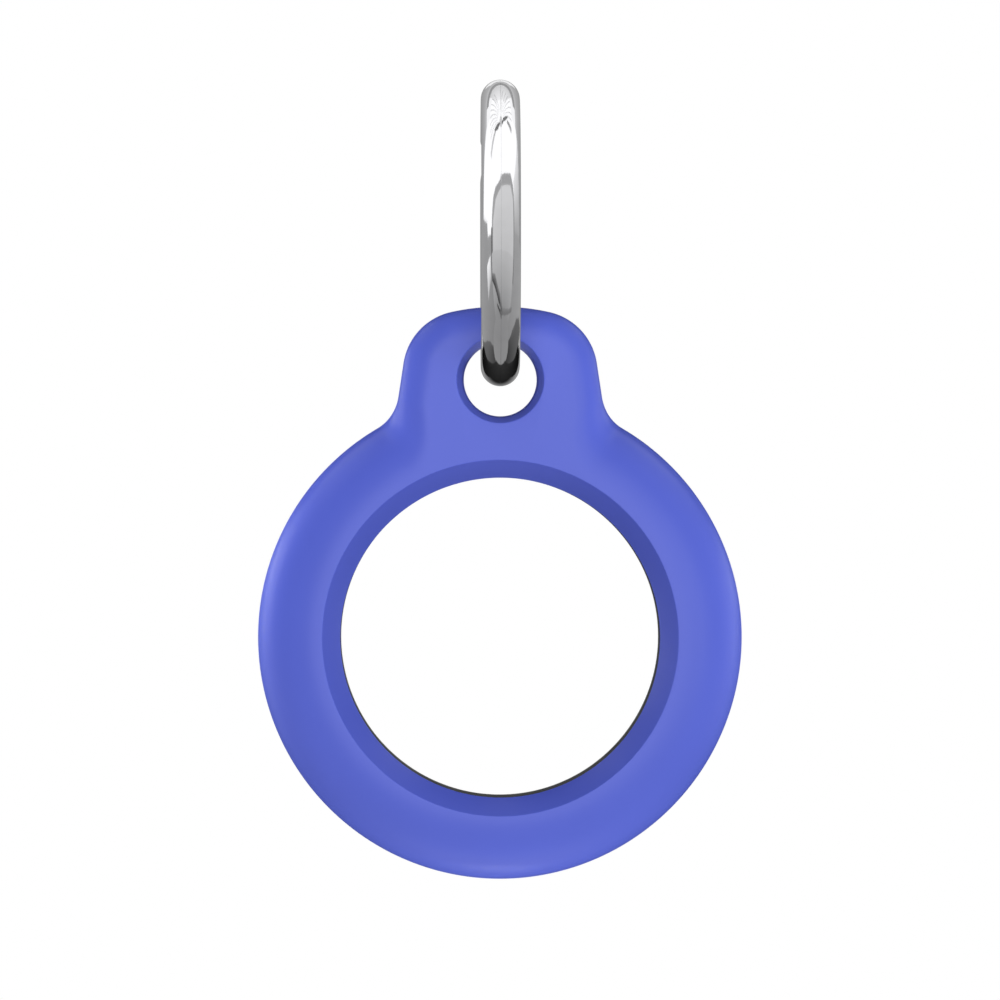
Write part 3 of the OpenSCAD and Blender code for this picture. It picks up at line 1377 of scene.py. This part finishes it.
@dataclass(frozen=True)
class SoftBox:
    """A soft lamp that points at the holder.

    Attributes:
        name: Its name.
        place: Where it stands.
        aim: The point that it faces.
        width: Its width in metres.
        height: Its height in metres.
        power: Its power in watts.
        mirrored: Whether the plastic's gloss shows it.
        shape: Its outline.
    """

    name: str
    place: Point3
    aim: Point3
    width: float
    height: float
    power: float
    mirrored: bool = True
    shape: LampShape = LampShape.SQUARE

    def build(self, shown_on: bpy.types.Collection) -> bpy.types.Object:
        """Adds the lamp.

        Args:
            shown_on: The objects that it lights.

        Returns:
            The lamp.
        """
        data = bpy.data.lights.new(self.name, "AREA")
        data.shape = self.shape.value
        data.size = self.width
        data.size_y = self.height
        data.energy = self.power
        lamp = bpy.data.objects.new(self.name, data)
        lamp.location = self.place
        way = Vector(self.aim) - Vector(self.place)
        lamp.rotation_euler = way.to_track_quat("-Z", "Y").to_euler()
        lamp.visible_camera = False
        lamp.visible_glossy = self.mirrored
        lamp.light_linking.receiver_collection = shown_on
        bpy.context.scene.collection.objects.link(lamp)
        return lamp


@dataclass(frozen=True)
class Card:
    """A plain studio card, on a sphere round the key ring, which alone shows it.

    Attributes:
        name: Its name.
        edges: Azimuth, lower edge and upper edge at its corners, in degrees. Azimuth 0 is towards the camera
            and 90 to the right.
        levels: How light its lower and its upper edge are, where 1 is white.
        distance: Radius of its sphere.
        rows: Number of faces between its edges.
        step: Widest face, in degrees of azimuth.
    """

    name: str
    edges: tuple[Point3, ...]
    levels: Point2
    distance: float
    rows: int = 8
    step: float = 3.0

    def columns(self) -> list[Point3]:
        """Divides the card into columns of faces.

        Returns:
            Azimuth, lower edge and upper edge at every column's side.
        """
        columns = [self.edges[0]]
        for first, last in zip(self.edges, self.edges[1:]):
            count = max(1, math.ceil((last[0] - first[0]) / self.step))
            for k in range(1, count + 1):
                columns.append(tuple(mix(u, v, k / count) for u, v in zip(first, last)))
        return columns

    def material(self) -> bpy.types.Material:
        """Builds its glow, which follows the level that its points hold.

        Returns:
            The material.
        """
        sheet = FinishSheet(self.name)
        sheet.fill(sheet.shader, {"Base Color": BLACK, "Specular IOR Level": 0.0, "Emission Color": WHITE})
        shown = sheet.add("ShaderNodeAttribute", attribute_name="level")
        sheet.join(shown, "Fac", sheet.shader, "Emission Strength")
        sheet.material.cycles.emission_sampling = "NONE"
        return sheet.material

    def build(self, shown_on: bpy.types.Collection) -> bpy.types.Object:
        """Adds the card.

        Args:
            shown_on: The objects that mirror it.

        Returns:
            The card.
        """
        points: list[Vector] = []
        columns, tall = self.columns(), self.rows + 1
        for azimuth, low, high in columns:
            side = math.radians(azimuth)
            for k in range(tall):
                rise = math.radians(mix(low, high, k / self.rows))
                flat = math.cos(rise)
                way = Vector((flat * math.sin(side), -flat * math.cos(side), math.sin(rise)))
                points.append(RING_MIDDLE + self.distance * way)
        obj = mesh_object(self.name, points, grid_faces(len(columns), tall, False, False))
        level = obj.data.attributes.new("level", "FLOAT", "POINT")
        for i in range(len(points)):
            level.data[i].value = mix(self.levels[0], self.levels[1], (i % tall) / self.rows)
        obj.data.materials.append(self.material())
        obj.light_linking.receiver_collection = shown_on
        obj.visible_camera = False
        obj.visible_diffuse = False
        obj.visible_transmission = False
        obj.visible_volume_scatter = False
        obj.visible_shadow = False
        return obj


def group_of(name: str, members: list[bpy.types.Object]) -> bpy.types.Collection:
    """Groups the objects on which a lamp or a card shows.

    Args:
        name: Name of the group.
        members: Its objects.

    Returns:
        The group.
    """
    group = bpy.data.collections.new(name)
    for member in members:
        group.objects.link(member)
    return group


@dataclass
class Studio:
    """White studio: lamps, cards, floor, world and camera.

    Attributes:
        boxes: The lamps.
        cards: The cards that the polished ring shows.
        rib_left: Azimuth of the first rib of the canopy on the left, in degrees.
        rib_right: Azimuth of the first rib on the right.
        rib_step: Azimuth from one rib to the next.
        rib_count: Number of ribs on either side.
        rib_width: Width of a rib, in degrees of azimuth.
        rib_low: Lower end of the ribs, in degrees.
        rib_high: Upper end of the ribs, in degrees.
        rib_level: How light a rib is, where 1 is white.
        rib_distance: Radius of the ribs' sphere.
        ambient: Level of the world's light on the object.
        floor_z: Height of the floor.
        floor_half: Half the floor's side.
        floor_colour: Colour of the floor, as linear.
        floor_roughness: Roughness of the floor.
        floor_glow: How pale the floor is where no lamp lights it.
        floor_bounce: Level of the floor's light on the object.
        high_lamp_z: Height over which a lamp lights the floor too.
    """

    boxes: tuple[SoftBox, ...] = (
        SoftBox("front_panel", (0.347, -1.297, 0.151), MIDDLE, 2.60, 1.90, 9.0, True, LampShape.ROUND),
        SoftBox("front_fill", (0.0, -1.35, 0.05), MIDDLE, 1.00, 1.00, 7.2, False),
        SoftBox("upper_fill", (0.0, -0.636, 0.646), MIDDLE, 0.34, 0.34, 1.3, False),
        SoftBox("right_fill", (0.636, -0.636, 0.01), MIDDLE, 0.30, 0.50, 1.0, False),
        SoftBox("left_top", (-0.634, 0.078, 0.644), MIDDLE, 0.34, 0.34, 1.7, False),
        SoftBox("right_top", (0.634, 0.078, 0.644), MIDDLE, 0.34, 0.34, 0.9, False),
        SoftBox("left_strip", (-0.869, 0.233, 0.01), MIDDLE, 0.12, 0.60, 1.9, False),
        SoftBox("left_glow", (-0.869, 0.233, 0.01), MIDDLE, 0.12, 0.60, 0.45),
        SoftBox("left_rim", (-0.636, 0.636, 0.01), MIDDLE, 0.30, 0.50, 0.6),
        SoftBox("left_near", (-0.0440, 0.0150, 0.012), (-0.0195, 0.0, 0.006), 0.008, 0.026, 0.0085, False),
        SoftBox("right_strip", (0.869, 0.233, 0.01), MIDDLE, 0.12, 0.60, 1.8, False),
        SoftBox("right_glow", (0.869, 0.233, 0.01), MIDDLE, 0.12, 0.60, 0.7),
        SoftBox("right_rim", (0.636, 0.636, 0.01), MIDDLE, 0.30, 0.50, 0.3),
        SoftBox("right_near", (0.0440, 0.0140, 0.004), (0.0195, 0.0, 0.002), 0.008, 0.020, 0.0038, False),
        SoftBox("low_strip", (0.0, 0.031, -0.349), MIDDLE, 0.24, 0.12, 0.17),
        SoftBox("low_rim", (0.0, 0.152, -0.316), MIDDLE, 0.24, 0.12, 0.085),
        SoftBox("low_near", (0.0, 0.0070, -0.044), (0.0, 0.0, -0.0195), 0.012, 0.008, 0.0032, False),
        SoftBox("rear_fill", (0.0, 1.30, 0.10), MIDDLE, 0.60, 0.60, 6.0, False),
    )
    cards: tuple[Card, ...] = (
        Card("canopy", ((-172, 46, 90), (172, 46, 90)), (1.12, 1.12), 2.6),
        Card("rear_canopy", ((150, 36, 62), (210, 36, 62)), (0.66, 0.95), 2.5),
        Card("left_sky", ((-122, 5, 47), (-88, 5, 47), (-84, -1, 47), (-56, -1, 47)), (1.12, 1.12), 2.6),
        Card("front_sky", ((-56, 15, 47), (122, 15, 47)), (1.12, 1.12), 1.68),
        Card("arch_left", ((-84, 40, 78), (-75, 40, 78)), (0.70, 0.30), 2.3),
        Card("arch_top_left", ((-88, 62, 83), (-62, 76, 87)), (0.16, 0.16), 2.2),
        Card("arch_top_right", ((58, 84, 88), (95, 80, 86), (118, 60, 80)), (0.16, 0.16), 2.2),
        Card("arch_crown", ((-180, 84, 90), (180, 84, 90)), (0.60, 0.60), 2.25),
        Card("arch_right", ((100, 44, 66), (108, 44, 66)), (0.50, 0.24), 2.3),
        Card("panel_head", ((-56, -20, 8), (-50, -20, 21), (-37, -20, 30), (-19, -20, 35), (2, -20, 42),
                            (23, -20, 42), (43, -20, 39), (64, -20, 34), (78, -20, 22), (84, -20, 10)),
             (0.50, 0.36), 1.64),
        Card("panel", ((-48, -23, 6), (-35, -23, 21), (-18, -23, 28), (2, -23, 33), (21, -23, 33),
                       (40, -23, 31), (60, -23, 27), (74, -23, 16)), (0.54, 0.68), 1.60),
        Card("left_edge", ((-60, -30, 2), (-51, -30, 2)), (0.10, 0.16), 0.382),
        Card("right_edge", ((75, -26, 14), (81, -26, 14)), (0.20, 0.36), 0.382),
        Card("apron", ((-57, -62, -13), (-20, -62, -14), (10, -62, -15), (50, -62, -14), (74, -62, -13)),
             (0.27, 0.52), 0.376),
        Card("streak", ((-58, -30, -25), (-40, -40, -29), (-22, -53, -41), (4, -64, -56), (14, -65, -58)),
             (0.02, 0.24), 0.366),
        Card("right_streak", ((14, -65, -59), (40, -62, -56), (64, -54, -49), (84, -42, -38)),
             (0.16, 0.24), 0.366),
        Card("low_streak", ((-34, -55, -52), (-16, -63, -59), (2, -69, -65)), (0.06, 0.06), 0.364),
        Card("left_glint", ((-92, -30, -13), (-66, -26, -13)), (0.50, 1.00), 0.380),
        Card("left_low", ((-152, -62, 4), (-88, -62, 4), (-84, -62, -2), (-57, -62, -2)), (0.24, 0.35),
             0.386),
        Card("right_low", ((72, -62, -14), (80, -62, -14), (82, -62, 0), (152, -62, 0)), (0.26, 0.36), 0.386),
        Card("right_shade", ((106, -70, -42), (118, -66, -24), (136, -62, -12), (152, -62, -6)), (0.04, 0.13),
             0.378),
        Card("left_shade", ((209, -62, -8), (220, -64, -18), (234, -66, -32), (244, -68, -46)), (0.05, 0.14),
             0.378),
        Card("right_wall", ((81, 0, 24), (130, 0, 24)), (0.40, 0.85), 1.60),
        Card("ground", ((-180, -90, -60), (180, -90, -60)), (0.26, 0.28), 0.372),
        Card("rear_low", ((143, -40, -18), (151, -62, -10), (160, -62, -6), (200, -62, -6), (209, -62, -10),
                          (217, -40, -18)), (0.03, 0.003), 0.370),
        Card("rear_window", ((169, 12, 22), (191, 12, 22)), (0.90, 0.90), 1.50),
        Card("rear_glow", ((164, -26, -5), (196, -26, -5)), (0.01, 0.34), 0.368),
        Card("rear_wall", ((126, -6, 24), (234, -6, 24)), (0.24, 0.46), 1.60),
        Card("rear_band", ((126, 24, 31), (234, 24, 31)), (0.50, 0.56), 1.60),
        Card("rear_line", ((140, 30, 37), (180, 28, 35), (220, 30, 37)), (0.30, 0.34), 1.58),
    )
    rib_left: float = -96.0
    rib_right: float = 117.0
    rib_step: float = 9.0
    rib_count: int = 8
    rib_width: float = 1.6
    rib_low: float = 46.0
    rib_high: float = 78.0
    rib_level: float = 0.50
    rib_distance: float = 2.4
    ambient: float = 0.0
    floor_z: float = -0.4
    floor_half: float = 4.0
    floor_colour: Colour = (0.9, 0.9, 0.9)
    floor_roughness: float = 0.9
    floor_glow: float = 0.93
    floor_bounce: float = 0.35
    high_lamp_z: float = 0.5

    def world(self) -> None:
        """Makes the world, white to the camera and in mirrors and softer as light."""
        world = bpy.data.worlds.new("studio")
        bpy.context.scene.world = world
        world.use_nodes = True
        sheet = NodeSheet(world.node_tree)
        light = sheet.add("ShaderNodeBackground", {"Color": WHITE})
        sheet.join(sheet.level(self.ambient, 1.0), "Result", light, "Strength")
        sheet.join(light, "Background", sheet.add("ShaderNodeOutputWorld"), "Surface")

    def floor(self) -> bpy.types.Object:
        """Adds the plain pale floor under the hanging holder.

        Returns:
            The floor.
        """
        h = self.floor_half
        corners = [Vector((x, y, self.floor_z)) for x, y in ((-h, -h), (h, -h), (h, h), (-h, h))]
        obj = mesh_object("floor", corners, [(0, 1, 2, 3)])
        sheet = FinishSheet("pale_floor")
        sheet.fill(sheet.shader, {"Base Color": (*self.floor_colour, 1.0), "Roughness": self.floor_roughness,
                                  "Emission Color": WHITE})
        glow = sheet.level(self.floor_bounce, self.floor_glow)
        sheet.join(glow, "Result", sheet.shader, "Emission Strength")
        sheet.material.cycles.emission_sampling = "NONE"
        obj.data.materials.append(sheet.material)
        return obj

    def ribs(self) -> list[Card]:
        """Lists the ribs of the canopy, which the ring shows as thin lines.

        Returns:
            One narrow card for each rib.
        """
        found: list[Card] = []
        sides = (("left", self.rib_left, -self.rib_step), ("right", self.rib_right, self.rib_step))
        for side, first, step in sides:
            for i in range(self.rib_count):
                start = first + i * step
                edges = ((start, self.rib_low, self.rib_high),
                         (start + self.rib_width, self.rib_low, self.rib_high))
                levels = (self.rib_level, self.rib_level)
                found.append(Card(f"rib_{side}_{i}", edges, levels, self.rib_distance))
        return found

    def build(self, satin_pieces: list[bpy.types.Object], polished_piece: bpy.types.Object) -> None:
        """Builds the whole studio.

        Args:
            satin_pieces: The pieces that the lamps light.
            polished_piece: The ring, which mirrors the cards instead.
        """
        Viewpoint().build()
        self.world()
        satin = group_of("lit_by_low_lamps", satin_pieces)
        satin_and_floor = group_of("lit_by_high_lamps", [*satin_pieces, self.floor()])
        polished = group_of("mirrors_cards", [polished_piece])
        for box in self.boxes:
            box.build(satin_and_floor if box.place[2] > self.high_lamp_z else satin)
        for card in (*self.cards, *self.ribs()):
            card.build(polished)
        bpy.context.scene.view_settings.view_transform = "Standard"


def main() -> None:
    """Builds the holder's pieces in order, then the studio round them."""
    logging.basicConfig(level=logging.INFO, format="%(name)s: %(message)s")
    plastic = SatinPlastic().material()
    rubber = SoftRubber().material()
    steel = PolishedSteel().material()
    shell = BodyShell("shell_moulding", "body_shell", CadBody.SHELL, FinishSlot.MOULDED, mirrored=False)
    cap = RearCap("cap_moulding", "rear_cap", CadBody.CAP, FinishSlot.MOULDED, mirrored=False)
    cushion = CushionRing("cushion_pad", "cushion_ring", CadBody.CUSHION, FinishSlot.PAD, mirrored=False)
    ring = KeyRing("split_ring", "key_ring", CadBody.RING, FinishSlot.STEEL)
    satin = [piece.dress(piece.build(), finish)
             for piece, finish in ((shell, plastic), (cap, plastic), (cushion, rubber))]
    Studio().build(satin, ring.dress(ring.build(), steel))


if __name__ == "__main__":
    main()
